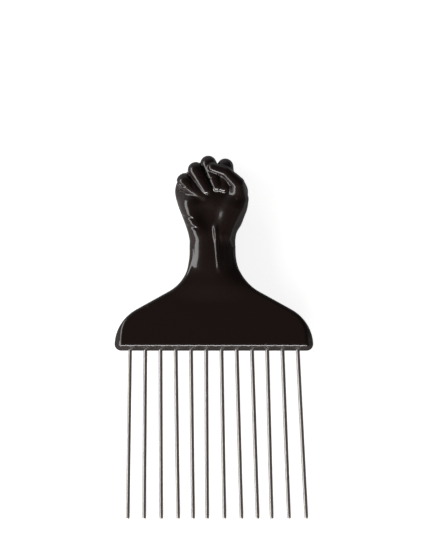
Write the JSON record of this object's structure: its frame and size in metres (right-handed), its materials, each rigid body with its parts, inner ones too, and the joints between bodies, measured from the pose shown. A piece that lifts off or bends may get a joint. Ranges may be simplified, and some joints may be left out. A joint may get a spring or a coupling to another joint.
{
  "type": "afro pick",
  "caption": "Hair pick: straight steel tines set in a row along the flared foot of a glossy black moulded handle shaped as a wrist and raised fist.",
  "frame": {"origin": "middle of the bounding box in X and Y, at its lowest point in Z, with the pick lying on its back", "axes": "+X along the foot's straight edge, +Y from the tines towards the fist, +Z out of the palm side"},
  "size_m": [0.0904, 0.1646, 0.0227],
  "materials": {
    "black_plastic": "glossy injection-moulded black plastic",
    "tine_steel": "bright drawn steel wire"
  },
  "bodies": {
    "root": {"handle": "black_plastic", "tine_01": "tine_steel", "tine_02": "tine_steel", "tine_03": "tine_steel", "tine_04": "tine_steel", "tine_05": "tine_steel", "tine_06": "tine_steel", "tine_07": "tine_steel", "tine_08": "tine_steel", "tine_09": "tine_steel", "tine_10": "tine_steel", "tine_11": "tine_steel", "tine_12": "tine_steel"}
  },
  "joints": []
}
